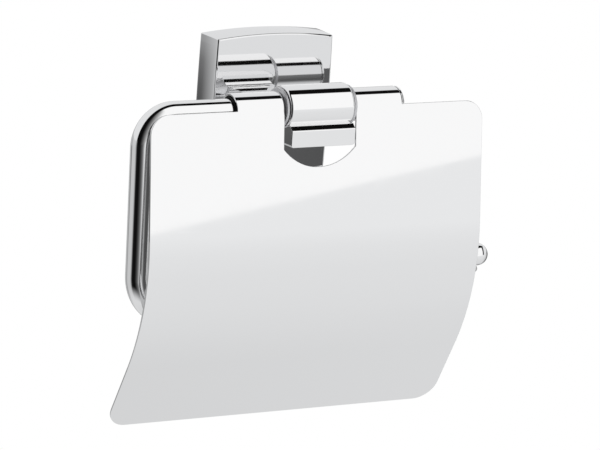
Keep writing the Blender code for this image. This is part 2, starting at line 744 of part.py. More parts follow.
def build():
    clear_scene()
    wall_side = make_empty("wall_side", (0, 0, 0))
    hinge_side = make_empty("hinge_side", HINGE, wall_side)
    rod_pivot = make_empty("rod_pivot", HINGE)
    cover_pivot = make_empty("cover_pivot", (0, 0, 0), rod_pivot)

    make_wall_rosette(wall_side)
    make_mounting_plate(wall_side)
    make_rosette_grub_screw(wall_side)
    make_arm_bolt(wall_side)
    make_locating_pins(wall_side)

    make_arm(hinge_side)
    make_axle_grub_screw(hinge_side)
    barrel_bush = BARREL_BORE - RUNNING_GAP
    inner_end = ROD_GROOVE_HALF + 0.8 * MM
    outer_end = BARREL_HALF - FIT_GAP
    make_sleeve("left_barrel_bush", -outer_end, -inner_end, barrel_bush, hinge_side)
    make_sleeve("right_barrel_bush", inner_end, outer_end, barrel_bush, hinge_side)

    make_roll_rod(rod_pivot)
    make_rod_end_cap(rod_pivot)
    washer_in = BARREL_HALF + FIT_GAP
    washer_out = KNUCKLE_INNER - FIT_GAP
    make_sleeve("left_thrust_washer", -washer_out, -washer_in, THRUST_RADIUS, rod_pivot, STEEL)
    make_sleeve("right_thrust_washer", washer_in, washer_out, THRUST_RADIUS, rod_pivot, STEEL)

    make_cover_plate(cover_pivot)
    make_bumpers(cover_pivot)
    make_knuckle_cap(cover_pivot)
    outer = KNUCKLE_RADIUS - SHEET - RUNNING_GAP
    start = KNUCKLE_INNER + RUNNING_GAP
    end = start + BUSH_LENGTH
    make_sleeve("left_inner_bush", -end, -start, outer, cover_pivot)
    make_sleeve("right_inner_bush", start, end, outer, cover_pivot)
    end = ROD_RIGHT_END - MM
    make_sleeve("right_outer_bush", end - BUSH_LENGTH, end, outer, cover_pivot)
    start = -KNUCKLE_OUTER - BUSH_PROUD
    make_sleeve("left_outer_bush", start, start + BUSH_LENGTH, outer, cover_pivot)


build()
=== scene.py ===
"""Looks of the toilet paper holder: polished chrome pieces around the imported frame, in a bright studio."""

import json
import math

import bmesh
import bpy
from mathutils import Matrix, Vector


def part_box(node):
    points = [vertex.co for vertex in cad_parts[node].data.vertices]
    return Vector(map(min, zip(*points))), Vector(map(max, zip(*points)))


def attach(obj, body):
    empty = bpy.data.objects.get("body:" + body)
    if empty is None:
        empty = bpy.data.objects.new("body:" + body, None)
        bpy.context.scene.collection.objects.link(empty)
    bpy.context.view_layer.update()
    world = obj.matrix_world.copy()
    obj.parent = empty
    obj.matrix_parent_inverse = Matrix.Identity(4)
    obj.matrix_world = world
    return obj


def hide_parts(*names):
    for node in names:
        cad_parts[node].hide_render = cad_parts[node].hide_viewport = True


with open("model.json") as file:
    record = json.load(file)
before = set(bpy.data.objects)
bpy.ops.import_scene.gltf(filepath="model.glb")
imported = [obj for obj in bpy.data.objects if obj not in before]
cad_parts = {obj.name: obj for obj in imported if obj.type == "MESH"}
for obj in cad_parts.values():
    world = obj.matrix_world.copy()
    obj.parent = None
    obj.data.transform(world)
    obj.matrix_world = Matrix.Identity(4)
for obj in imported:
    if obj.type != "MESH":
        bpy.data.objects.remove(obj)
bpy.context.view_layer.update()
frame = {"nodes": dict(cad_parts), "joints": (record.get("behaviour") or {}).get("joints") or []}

MM = 0.001
WORLD_ORIGIN = Vector((0.0, 0.0, 0.0))

# Places and sizes that the frame gives

PIVOT = Vector(frame["joints"][0]["pos_m"])
ROSETTE_LOW, ROSETTE_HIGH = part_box("wall_rosette")
ARM_LOW, ARM_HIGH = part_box("arm")
COVER_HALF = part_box("cover_plate")[1].x

# Sizes of the design, about the hinge axis where not said otherwise

ROD_RADIUS = 4.1 * MM
ROD_AXLE_END = 31.0 * MM
ROD_TOP_CORNER = Vector((-68.8 * MM, 0.0))
ROD_LOW_CORNER = Vector((-67.0 * MM, -74.3 * MM))
ROD_TOP_BEND = 11.5 * MM
ROD_LOW_BEND = 15.2 * MM
ROD_TIP = Vector((75.7 * MM, -58.7 * MM))
ROD_CHAMFER = 0.6 * MM
TIP_DOME = ROD_RADIUS - 0.025 * MM
ROD_GROOVE_RADIUS = 3.4 * MM
ROD_GROOVE_HALF = 2.6 * MM
ROD_GROOVE_SLOPE = ROD_CHAMFER / 4
ROD_END_BACK = 3.0 * MM
SOCKET_RADIUS = 2.3 * MM
SOCKET_DEPTH = 8.0 * MM
SPIGOT_RADIUS = 2.0 * MM
SPIGOT_START = -10.5 * MM
TIP_JOINT = -2.7 * MM
SMALL_CHAMFER = 0.12 * MM
GRUB_HOLE_RADIUS = 2.3 * MM

BARREL_RADIUS = 8.0 * MM
BARREL_HALF = ARM_HIGH.x
BARREL_EDGE = 0.8 * MM
BARREL_BORE = 5.4 * MM

KNUCKLE_RADIUS = 5.9 * MM
KNUCKLE_INNER = 14.9 * MM
KNUCKLE_OUTER = 34.2 * MM
KNUCKLE_TURN = math.radians(305.0)
BUSH_BORE = ROD_RADIUS + 0.2 * MM
CAP_GAP = 0.3 * MM
CAP_RIM = 0.4 * MM
CAP_SHORT = 0.1 * MM
CAP_PLAY = 0.2 * MM
CAP_ROUNDNESS = 0.35

SHEET = 0.8 * MM
COVER_LEAN = math.radians(5.8)
COVER_SWEEP = math.radians(28.9)
COVER_BEND = 83.4 * MM
COVER_STRAIGHT_TOP = 43.9 * MM
COVER_STRAIGHT_LOW = 27.7 * MM
COVER_TOP_CORNER = 7.2 * MM
COVER_LOW_CORNER = 8.0 * MM
NOTCH_STRAIGHT = 14.3 * MM
NOTCH_DEPTH = 21.1 * MM
SHEET_SOFT_EDGE = 0.16 * MM

LIP_TOP = -5.2 * MM
LIP_BOTTOM = ARM_LOW.z - PIVOT.z
LIP_FRONT = -9.2 * MM
LIP_BACK = 9.0 * MM
LIP_SLOPE_DEPTH = 1.8 * MM
LIP_SLOPE_HEIGHT = 1.6 * MM
LIP_CORNER = 1.0 * MM
NECK_HALF = 9.8 * MM
NECK_FRONT = 1.0 * MM
NECK_TOP = -1.0 * MM
NECK_BOTTOM = -12.5 * MM
NECK_FILLET = 6.0 * MM
NECK_OVERLAP = 0.1 * MM
NECK_WALL_GAP = 0.3 * MM
LIP_SOFT_EDGE = 0.25 * MM
NECK_SOFT_EDGE = 0.4 * MM

ROSETTE_DEPTH = -ROSETTE_LOW.y
ROSETTE_BACK = ROSETTE_HIGH.x * 2
ROSETTE_FRONT = ROSETTE_BACK - 0.6 * MM
ROSETTE_BULGE = 1.5 * MM
ROSETTE_WALL = 2.2 * MM
ROSETTE_BOW = 0.3 * MM
ROSETTE_EDGE = 0.7 * MM
ROSETTE_CROWN = 0.10 * MM
ROSETTE_SOFT_EDGE = 0.3 * MM
BOSS_RADIUS = 4.0 * MM
BOSS_LOW = -1.0 * MM
BOSS_HIGH = 3.6 * MM
BOSS_PLACE = -5.5 * MM

# The camera: the photograph's viewing angle

CAMERA_AZIMUTH = math.radians(32.12)
CAMERA_ELEVATION = math.radians(12.54)
CAMERA_ROLL = math.radians(4.02)
CAMERA_DISTANCE = 1519.3 * MM
CAMERA_LENS = 254.85
CAMERA_LEFT = 1.15 * MM
CAMERA_UP = 2.87 * MM
CAMERA_SENSOR = 36.0
HOLDER_MIDDLE = PIVOT + Vector((0.0, 0.0, -46.35 * MM))

# The studio

FLOOR_RADIUS = 1.4
FLOOR_HEIGHT = -0.55
LAMP_DIRECTION = Vector((0.481, -0.698, 0.529))
LAMP_DISTANCE = 1.6
LAMP_SIZE = 1.0
LAMP_POWER = 12.0


# Node helpers


class Nodes:
    """A short way to add and join shader nodes."""

    def __init__(self, tree):
        self.tree = tree
        tree.nodes.clear()

    def add(self, kind, inputs=None, **settings):
        node = self.tree.nodes.new(kind)
        for key, value in settings.items():
            setattr(node, key, value)
        for key, value in (inputs or {}).items():
            self.put(node.inputs[key], value)
        return node

    def put(self, socket, value):
        if isinstance(value, bpy.types.NodeSocket):
            self.tree.links.new(value, socket)
        else:
            socket.default_value = value

    def math(self, operation, first, second, third=0.0):
        node = self.add("ShaderNodeMath", operation=operation)
        for socket, value in zip(node.inputs, (first, second, third)):
            self.put(socket, value)
        return node.outputs[0]

    def noise(self, place, scale, detail, roughness=0.5):
        inputs = {"Vector": place, "Scale": scale, "Detail": detail, "Roughness": roughness}
        return self.add("ShaderNodeTexNoise", inputs).outputs["Fac"]

    def multiply(self, first, second):
        """One colour times another."""
        inputs = {0: 1.0, 6: first, 7: second}
        return self.add("ShaderNodeMix", inputs, data_type="RGBA", blend_type="MULTIPLY").outputs[2]

    def ramp(self, value, stops):
        """A grey ramp from (position, brightness) stops."""
        node = self.add("ShaderNodeValToRGB", {"Fac": value})
        elements = node.color_ramp.elements
        while len(elements) > 1:
            elements.remove(elements[-1])
        elements[0].position = stops[0][0]
        elements[0].color = (stops[0][1],) * 3 + (1.0,)
        for position, level in stops[1:]:
            element = elements.new(position)
            element.color = (level,) * 3 + (1.0,)
        return node.outputs["Color"]

    def spread(self, value, low, high, to_low=0.0, to_high=1.0, smooth=True):
        """Map low..high to to_low..to_high, clamped."""
        kind = "SMOOTHSTEP" if smooth else "LINEAR"
        node = self.add("ShaderNodeMapRange", interpolation_type=kind, clamp=True)
        self.put(node.inputs["Value"], value)
        for key, number in zip(("From Min", "From Max", "To Min", "To Max"), (low, high, to_low, to_high)):
            node.inputs[key].default_value = number
        return node.outputs["Result"]

    def blend(self, factor, first, second):
        node = self.add("ShaderNodeMix", data_type="RGBA")
        self.put(node.inputs[0], factor)
        self.put(node.inputs[6], first)
        self.put(node.inputs[7], second)
        return node.outputs[2]


def grey(level):
    return (level, level, level, 1.0)


# Materials


def new_material(name):
    material = bpy.data.materials.new(name)
    material.use_nodes = True
    return material, Nodes(material.node_tree)


def close_surface(nodes, inputs, height, strength, distance):
    """Add the shader, with a bump made from a height, and the output."""
    shader = nodes.add("ShaderNodeBsdfPrincipled", inputs)
    bump = nodes.add("ShaderNodeBump", {"Strength": strength, "Distance": distance, "Height": height})
    nodes.put(shader.inputs["Normal"], bump.outputs["Normal"])
    output = nodes.add("ShaderNodeOutputMaterial")
    nodes.put(output.inputs["Surface"], shader.outputs[0])


def chrome(name, wave, wave_scale, polish, tint=(0.935, 0.935, 0.938, 1.0)):
    """Polished chrome plating: a faint ripple from the metal below, fine wiping marks, soft smears."""
    material, nodes = new_material(name)
    place = nodes.add("ShaderNodeTexCoord").outputs["Object"]
    ripple = nodes.noise(place, wave_scale, 1.0)
    smear = nodes.noise(place, 90.0, 4.0, 0.6)
    stretched = nodes.add("ShaderNodeMapping", {"Vector": place, "Scale": (60.0, 900.0, 2400.0)}).outputs[0]
    marks = nodes.spread(nodes.noise(stretched, 1.0, 2.0), 0.62, 0.80)
    dull = nodes.math("MULTIPLY_ADD", smear, 0.03, polish - 0.015)
    rough = nodes.math("MULTIPLY_ADD", marks, 0.02, dull)
    inputs = {"Metallic": 1.0, "Base Color": tint, "Roughness": rough}
    close_surface(nodes, inputs, ripple, wave, 0.00006)
    return material


def nylon(name):
    """Black moulded nylon with a fine matt grain."""
    material, nodes = new_material(name)
    place = nodes.add("ShaderNodeTexCoord").outputs["Object"]
    grain = nodes.noise(place, 3500.0, 3.0)
    colour = nodes.blend(nodes.noise(place, 250.0, 2.0), grey(0.003), grey(0.008))
    rough = nodes.spread(grain, 0.3, 0.7, 0.38, 0.55)
    inputs = {"Base Color": colour, "Roughness": rough, "Specular IOR Level": 0.15}
    close_surface(nodes, inputs, grain, 0.3, 0.00003)
    return material


def rubber(name):
    """Soft grey rubber."""
    material, nodes = new_material(name)
    place = nodes.add("ShaderNodeTexCoord").outputs["Object"]
    grain = nodes.noise(place, 1800.0, 3.0)
    colour = nodes.blend(grain, grey(0.36), grey(0.48))
    rough = nodes.spread(grain, 0.3, 0.7, 0.45, 0.62)
    close_surface(nodes, {"Base Color": colour, "Roughness": rough}, grain, 0.25, 0.00003)
    return material


def plated_steel(name, dark, light, finest, coarsest):
    """Zinc-plated steel: bright, slightly blotchy, with fine rolling marks."""
    material, nodes = new_material(name)
    place = nodes.add("ShaderNodeTexCoord").outputs["Object"]
    cloud = nodes.noise(place, 160.0, 4.0)
    stretched = nodes.add("ShaderNodeMapping", {"Vector": place, "Scale": (2600.0, 2600.0, 90.0)}).outputs[0]
    grain = nodes.noise(stretched, 1.0, 3.0)
    rough = nodes.spread(cloud, 0.3, 0.7, finest, coarsest)
    inputs = {"Metallic": 1.0, "Base Color": nodes.blend(cloud, dark, light), "Roughness": rough}
    close_surface(nodes, inputs, grain, 0.35, 0.00004)
    return material


COVER_CHROME = chrome("cover_chrome", 0.012, 22.0, 0.02)
CAST_CHROME = chrome("cast_chrome", 0.20, 70.0, 0.035)
# Painted shade: the rosette gets a darker copy of the same chrome than the other pieces.
ROSETTE_CHROME = chrome("rosette_chrome", 0.20, 70.0, 0.035, (0.88, 0.88, 0.885, 1.0))
ROD_CHROME = chrome("rod_chrome", 0.12, 60.0, 0.035)
BLACK_NYLON = nylon("black_nylon")
GREY_RUBBER = rubber("grey_rubber")
STEEL = plated_steel("plated_steel", (0.50, 0.51, 0.53, 1.0), (0.66, 0.66, 0.67, 1.0), 0.24, 0.42)
SATIN_STEEL = plated_steel("satin_steel", (0.70, 0.70, 0.72, 1.0), (0.80, 0.80, 0.81, 1.0), 0.46, 0.54)


# Mesh helpers

SHARP_ANGLE = math.radians(32.0)
NORMAL_WEIGHT = 80


def mesh_object(name, bm, place=PIVOT):
    """An object from a bmesh drawn about place."""
    bmesh.ops.recalc_face_normals(bm, faces=bm.faces)
    mesh = bpy.data.meshes.new(name)
    bm.to_mesh(mesh)
    bm.free()
    mesh.transform(Matrix.Translation(place))
    obj = bpy.data.objects.new(name, mesh)
    bpy.context.scene.collection.objects.link(obj)
    return obj


def bake(obj):
    """Replace an object's mesh by what its modifiers make of it."""
    graph = bpy.context.evaluated_depsgraph_get()
    mesh = bpy.data.meshes.new_from_object(obj.evaluated_get(graph), depsgraph=graph)
    obj.modifiers.clear()
    obj.data = mesh
    return obj


def soften(obj, width, segments, angle=40.0):
    """Round every edge that turns by more than an angle."""
    modifier = obj.modifiers.new("soft_edges", "BEVEL")
    modifier.width = width
    modifier.segments = segments
    modifier.limit_method = "ANGLE"
    modifier.angle_limit = math.radians(angle)
    modifier.use_clamp_overlap = True
    return bake(obj)


def combine(obj, other, operation):
    """Apply a Boolean with another object, which is then removed."""
    modifier = obj.modifiers.new(operation.lower(), "BOOLEAN")
    modifier.operation = operation
    modifier.object = other
    modifier.solver = "EXACT"
    bake(obj)
    bpy.data.objects.remove(other, do_unlink=True)
    return obj


def finish_piece(obj, material, body, node):
    """Smooth shading, material, body and the CAD node that a piece stands for."""
    obj.data.materials.clear()
    obj.data.materials.append(material)
    obj.data.shade_smooth()
    obj.data.set_sharp_from_angle(angle=SHARP_ANGLE)
    modifier = obj.modifiers.new("weighted_normals", "WEIGHTED_NORMAL")
    modifier.keep_sharp = True
    modifier.weight = NORMAL_WEIGHT
    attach(obj, body)
    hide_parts(node)


def frame_along(origin, direction):
    """A matrix that takes local Z to the given direction."""
    turn = Vector(direction).to_track_quat("Z", "Y").to_matrix().to_4x4()
    return Matrix.Translation(Vector(origin)) @ turn


def turned(bm, stations, origin, direction, segments=96, ring=False):
    """Turn stations of (distance along, radius) about a line. A ring's stations close on themselves."""
    place = frame_along(origin, direction)
    loops = []
    for along, radius in stations:
        count = segments if radius > 0.0 else 1
        loop = []
        for i in range(count):
            angle = 2.0 * math.pi * i / segments
            point = Vector((radius * math.cos(angle), radius * math.sin(angle), along))
            loop.append(bm.verts.new(place @ point))
        loops.append(loop)
    pairs = list(zip(loops, loops[1:]))
    if ring:
        pairs.append((loops[-1], loops[0]))
    for low, high in pairs:
        for i in range(segments):
            corners = []
            for loop, index in ((low, i), (low, i + 1), (high, i + 1), (high, i)):
                vert = loop[index % len(loop)]
                if vert not in corners:
                    corners.append(vert)
            bm.faces.new(corners)
    if not ring:
        for loop in (loops[0], loops[-1]):
            if len(loop) > 1:
                bm.faces.new(loop)


def prism(bm, outline, place, start, end):
    """Extrude a closed 2D outline along the local Z of a place matrix, from start to end."""
    low = [bm.verts.new(place @ Vector((u, v, start))) for u, v in outline]
    high = [bm.verts.new(place @ Vector((u, v, end))) for u, v in outline]
    bm.faces.new(low)
    bm.faces.new(high)
    for i in range(len(outline)):
        j = (i + 1) % len(outline)
        bm.faces.new((low[i], low[j], high[j], high[i]))


def bridge(bm, loops):
    """Join each closed loop of vertices to the next with a band of faces."""
    for low, high in zip(loops, loops[1:]):
        for i in range(len(low)):
            j = (i + 1) % len(low)
            bm.faces.new((low[i], low[j], high[j], high[i]))


def arc_points(centre, radius, start, end, steps):
    """Points on an arc, with both ends, angles in radians."""
    points = []
    for i in range(steps + 1):
        angle = start + (end - start) * i / steps
        points.append((centre[0] + radius * math.cos(angle), centre[1] + radius * math.sin(angle)))
    return points


def side_view():
    """A place matrix for outlines drawn as (y, z) and extruded along X."""
    return Matrix(((0, 0, 1, 0), (1, 0, 0, 0), (0, 1, 0, 0), (0, 0, 0, 1)))


# Rosette


def rosette_outline(width, inset=0.0, steps=40, rows=16):
    """A square with bowed top and bottom edges and faintly bowed sides, as (x, z) points."""
    half = width / 2 - inset
    across = half - ROSETTE_BOW
    radius = (across**2 + ROSETTE_BULGE**2) / (2 * ROSETTE_BULGE)
    spread = math.asin(across / radius)
    centre = half + ROSETTE_BULGE - radius
    up = math.pi / 2
    top = arc_points((0.0, centre), radius, up + spread, up - spread, steps)
    right = []
    for i in range(1, rows):
        z = half * (1.0 - 2.0 * i / rows)
        right.append((half - ROSETTE_BOW * (z / half) ** 2, z))
    return top + right + [(-x, -z) for x, z in top + right]


def make_rosette():
    rows = 8
    rim_steps = 6
    rim = -ROSETTE_DEPTH + ROSETTE_EDGE
    layers = []
    for i in range(rim_steps):
        turn = 0.5 * math.pi * i / rim_steps
        inset = ROSETTE_EDGE * (1.0 - math.sin(turn))
        y = -ROSETTE_DEPTH + ROSETTE_EDGE * (1.0 - math.cos(turn))
        layers.append((y, rosette_outline(ROSETTE_FRONT, inset)))
    for i in range(rows + 1):
        share = i / rows
        width = ROSETTE_FRONT + (ROSETTE_BACK - ROSETTE_FRONT) * share
        swell = ROSETTE_CROWN * (1.0 - (2.0 * share - 1.0) ** 2)
        layers.append((rim * (1.0 - share), rosette_outline(width, -swell)))
    layers.append((0.0, rosette_outline(ROSETTE_BACK, ROSETTE_WALL)))
    layers.append((-ROSETTE_DEPTH + ROSETTE_WALL, rosette_outline(ROSETTE_FRONT, ROSETTE_WALL)))
    bm = bmesh.new()
    loops = [[bm.verts.new((x, y, z)) for x, z in outline] for y, outline in layers]
    bm.faces.new(loops[0])
    bm.faces.new(loops[-1])
    bridge(bm, loops)
    rosette = mesh_object("rosette_shell", bm, WORLD_ORIGIN)
    soften(rosette, ROSETTE_SOFT_EDGE, 3)

    # The boss inside, and the hole for the grub screw from below
    boss = bmesh.new()
    floor = -(ROSETTE_BACK / 2 - ROSETTE_WALL + ROSETTE_BULGE)
    turned(boss, [(BOSS_LOW, BOSS_RADIUS), (BOSS_HIGH, BOSS_RADIUS)], (0, BOSS_PLACE, floor), (0, 0, 1), 48)
    combine(rosette, mesh_object("boss_tool", boss, WORLD_ORIGIN), "UNION")
    hole = bmesh.new()
    stations = [(0.0, GRUB_HOLE_RADIUS), (20.0 * MM, GRUB_HOLE_RADIUS)]
    turned(hole, stations, (0, BOSS_PLACE, -35.0 * MM), (0, 0, 1), 48)
    combine(rosette, mesh_object("hole_tool", hole, WORLD_ORIGIN), "DIFFERENCE")
    finish_piece(rosette, ROSETTE_CHROME, "wall_side", "wall_rosette")


# Arm


def lip_side():
    """The lip from the side, as (y, z), with a slope along its top front edge."""
    return [
        (LIP_BACK, LIP_BOTTOM),
        (LIP_FRONT, LIP_BOTTOM),
        (LIP_FRONT, LIP_TOP - LIP_SLOPE_HEIGHT),
        (LIP_FRONT + LIP_SLOPE_DEPTH, LIP_TOP),
        (LIP_BACK, LIP_TOP),
    ]


def lip_front():
    """The lip from the front, as (x, z), with its two lower corners rounded."""
    right = BARREL_HALF - LIP_CORNER
    low = LIP_BOTTOM + LIP_CORNER
    points = [(BARREL_HALF, 0.0), (-BARREL_HALF, 0.0)]
    points += arc_points((-right, low), LIP_CORNER, math.pi, 1.5 * math.pi, 12)
    points += arc_points((right, low), LIP_CORNER, 1.5 * math.pi, 2.0 * math.pi, 12)
    return points


def front_view():
    """A place matrix for outlines drawn as (x, z) and extruded along Y."""
    return Matrix(((1, 0, 0, 0), (0, 0, 1, 0), (0, 1, 0, 0), (0, 0, 0, 1)))


def neck_side():
    """The neck from the side, as (y, z): it meets the barrel in a fillet above."""
    back = ROSETTE_LOW.y - PIVOT.y - NECK_WALL_GAP
    middle_z = NECK_TOP + NECK_FILLET
    middle_y = math.sqrt((BARREL_RADIUS + NECK_FILLET - NECK_OVERLAP) ** 2 - middle_z**2)
    meets = math.pi + math.atan2(middle_z, middle_y)
    fillet = arc_points((middle_y, middle_z), NECK_FILLET, 1.5 * math.pi, meets, 32)
    below = [(NECK_FRONT, NECK_BOTTOM), (back, NECK_BOTTOM), (back, NECK_TOP)]
    return below + fillet + [(NECK_FRONT, fillet[-1][1])]


def make_arm():
    corner = (BARREL_HALF - BARREL_EDGE, BARREL_RADIUS - BARREL_EDGE)
    round_end = arc_points(corner, BARREL_EDGE, 0.5 * math.pi, 0.0, 8)
    stations = [(-x, radius) for x, radius in reversed(round_end)] + round_end
    bm = bmesh.new()
    turned(bm, stations, (0, 0, 0), (1, 0, 0), 144)
    arm = mesh_object("arm_casting", bm)

    bm = bmesh.new()
    prism(bm, lip_front(), front_view(), LIP_FRONT - MM, LIP_BACK + MM)
    lip = mesh_object("lip_tool", bm)
    bm = bmesh.new()
    prism(bm, lip_side(), side_view(), -BARREL_HALF - MM, BARREL_HALF + MM)
    combine(lip, mesh_object("lip_side_tool", bm), "INTERSECT")
    combine(arm, soften(lip, LIP_SOFT_EDGE, 3), "UNION")

    bm = bmesh.new()
    prism(bm, neck_side(), side_view(), -NECK_HALF, NECK_HALF)
    combine(arm, soften(mesh_object("neck_tool", bm), NECK_SOFT_EDGE, 4), "UNION")

    bm = bmesh.new()
    turned(bm, [(-20 * MM, BARREL_BORE), (20 * MM, BARREL_BORE)], (0, 0, 0), (1, 0, 0), 96)
    combine(arm, mesh_object("bore_tool", bm), "DIFFERENCE")
    bm = bmesh.new()
    stations = [(0.0, GRUB_HOLE_RADIUS), (15 * MM, GRUB_HOLE_RADIUS)]
    turned(bm, stations, (0, 0, LIP_BOTTOM - MM), (0, 0, 1), 48)
    combine(arm, mesh_object("grub_tool", bm), "DIFFERENCE")
    finish_piece(arm, CAST_CHROME, "wall_side", "arm")


# Rod


def rounded_corner(corner, arriving, leaving, radius, steps):
    """Centre-line points of a bend that rounds a corner, with both ends."""
    turn = arriving.angle(leaving)
    side = 1.0 if arriving.x * leaving.y - arriving.y * leaving.x > 0 else -1.0
    inward = Vector((-arriving.y, arriving.x)) * side
    centre = corner - arriving * radius * math.tan(turn / 2) + inward * radius
    points = []
    for i in range(steps + 1):
        angle = turn * i / steps
        points.append(centre - inward * radius * math.cos(angle) + arriving * radius * math.sin(angle))
    return points


def bar_direction():
    return (ROD_TIP - ROD_LOW_CORNER).normalized()


def path_side(points, index):
    """The in-plane direction square to the path at a point."""
    before = points[max(index - 1, 0)]
    after = points[min(index + 1, len(points) - 1)]
    along = (after - before).normalized()
    return Vector((-along.y, along.x))


def make_rod():
    left = Vector((-1.0, 0.0))
    down = (ROD_LOW_CORNER - ROD_TOP_CORNER).normalized()
    right = bar_direction()
    stations = [
        (Vector((ROD_AXLE_END, 0.0)), ROD_RADIUS - ROD_CHAMFER),
        (Vector((ROD_AXLE_END - ROD_CHAMFER, 0.0)), ROD_RADIUS),
    ]
    # The groove that the grub screw's tip sits in, inside the arm's barrel
    for along, radius in (
        (ROD_GROOVE_HALF, ROD_RADIUS),
        (ROD_GROOVE_HALF - ROD_GROOVE_SLOPE, ROD_GROOVE_RADIUS),
        (ROD_GROOVE_SLOPE - ROD_GROOVE_HALF, ROD_GROOVE_RADIUS),
        (-ROD_GROOVE_HALF, ROD_RADIUS),
    ):
        stations.append((Vector((along, 0.0)), radius))
    bends = rounded_corner(ROD_TOP_CORNER, left, down, ROD_TOP_BEND, 40)
    bends += rounded_corner(ROD_LOW_CORNER, down, right, ROD_LOW_BEND, 40)
    stations += [(point, ROD_RADIUS) for point in bends]

    # The bar's end, with the socket for the tip's spigot
    end = ROD_TIP - right * ROD_END_BACK
    end_stations = [
        (end - right * SMALL_CHAMFER, ROD_RADIUS),
        (end, ROD_RADIUS - SMALL_CHAMFER),
        (end, SOCKET_RADIUS),
        (end - right * SOCKET_DEPTH, SOCKET_RADIUS),
    ]
    stations += end_stations
    points = [point for point, _ in stations]
    segments = 72
    bm = bmesh.new()
    loops = []
    for index, (point, radius) in enumerate(stations):
        on_path = index < len(stations) - len(end_stations)
        side = path_side(points, index) if on_path else Vector((-right.y, right.x))
        loop = []
        for k in range(segments):
            angle = 2.0 * math.pi * k / segments
            spot = point + side * radius * math.cos(angle)
            loop.append(bm.verts.new((spot.x, radius * math.sin(angle), spot.y)))
        loops.append(loop)
    bridge(bm, loops)
    bm.faces.new(loops[0])
    bm.faces.new(loops[-1])
    rod = mesh_object("bent_rod", bm)
    finish_piece(rod, ROD_CHROME, "rod", "roll_rod")


def make_rod_cap():
    along = bar_direction()
    stations = [(SPIGOT_START, 0.0), (SPIGOT_START, SPIGOT_RADIUS), (TIP_JOINT, SPIGOT_RADIUS)]
    stations += [(TIP_JOINT, ROD_RADIUS - SMALL_CHAMFER), (TIP_JOINT + SMALL_CHAMFER, ROD_RADIUS)]
    stations.append((0.0, ROD_RADIUS))
    steps = 24
    for i in range(1, steps):
        angle = 0.5 * math.pi * i / steps
        stations.append((TIP_DOME * math.sin(angle), ROD_RADIUS * math.cos(angle)))
    stations.append((TIP_DOME, 0.0))
    bm = bmesh.new()
    turned(bm, stations, (ROD_TIP.x, 0.0, ROD_TIP.y), (along.x, 0.0, along.y), 72)
    cap = mesh_object("rounded_tip", bm)
    finish_piece(cap, ROD_CHROME, "rod", "rod_end_cap")


# Cover


def cover_length():
    return COVER_STRAIGHT_TOP + COVER_BEND * (COVER_LEAN + COVER_SWEEP) + COVER_STRAIGHT_LOW


def cover_section(s):
    """Outer face of the sheet, s metres down from where it leaves the knuckle: (y, z, lean)."""
    y = -KNUCKLE_RADIUS * math.cos(COVER_LEAN)
    z = KNUCKLE_RADIUS * math.sin(COVER_LEAN)
    if s < 0.0:
        lean = COVER_LEAN - s / KNUCKLE_RADIUS
        return -KNUCKLE_RADIUS * math.cos(lean), KNUCKLE_RADIUS * math.sin(lean), lean
    straight = min(s, COVER_STRAIGHT_TOP)
    y -= straight * math.sin(COVER_LEAN)
    z -= straight * math.cos(COVER_LEAN)
    bend = min(max(s - COVER_STRAIGHT_TOP, 0.0), COVER_BEND * (COVER_LEAN + COVER_SWEEP))
    lean = COVER_LEAN - bend / COVER_BEND
    y -= COVER_BEND * (math.cos(lean) - math.cos(COVER_LEAN))
    z -= COVER_BEND * (math.sin(COVER_LEAN) - math.sin(lean))
    rest = max(s - COVER_STRAIGHT_TOP - COVER_BEND * (COVER_LEAN + COVER_SWEEP), 0.0)
    y -= rest * math.sin(lean)
    z -= rest * math.cos(lean)
    return y, z, lean


def cover_outline():
    """The flat blank as (x, s), with the notch for the arm and the two tabs for the knuckles."""
    tab = -KNUCKLE_RADIUS * KNUCKLE_TURN
    end = cover_length()
    top = COVER_HALF - COVER_TOP_CORNER
    low = COVER_HALF - COVER_LOW_CORNER
    sagitta = NOTCH_DEPTH - NOTCH_STRAIGHT
    radius = (KNUCKLE_INNER**2 + sagitta**2) / (2 * sagitta)
    centre = NOTCH_DEPTH - radius
    spread = math.asin(KNUCKLE_INNER / radius)
    up = math.pi / 2
    right = [(KNUCKLE_INNER, tab), (KNUCKLE_OUTER, tab), (KNUCKLE_OUTER, 0.0)]
    right += arc_points((top, COVER_TOP_CORNER), COVER_TOP_CORNER, -up, 0.0, 16)
    right += arc_points((low, end - COVER_LOW_CORNER), COVER_LOW_CORNER, 0.0, up, 16)
    left = [(-x, s) for x, s in reversed(right)]
    notch = arc_points((0.0, centre), radius, up + spread, up - spread, 40)
    return right + left + notch


def cut_lines():
    """Distances down the sheet where it needs an edge to bend."""
    curl_steps = 100
    lines = [-KNUCKLE_RADIUS * KNUCKLE_TURN * i / curl_steps for i in range(curl_steps)]
    bend_steps = 60
    bend = COVER_BEND * (COVER_LEAN + COVER_SWEEP)
    lines += [COVER_STRAIGHT_TOP + bend * i / bend_steps for i in range(bend_steps + 1)]
    return lines


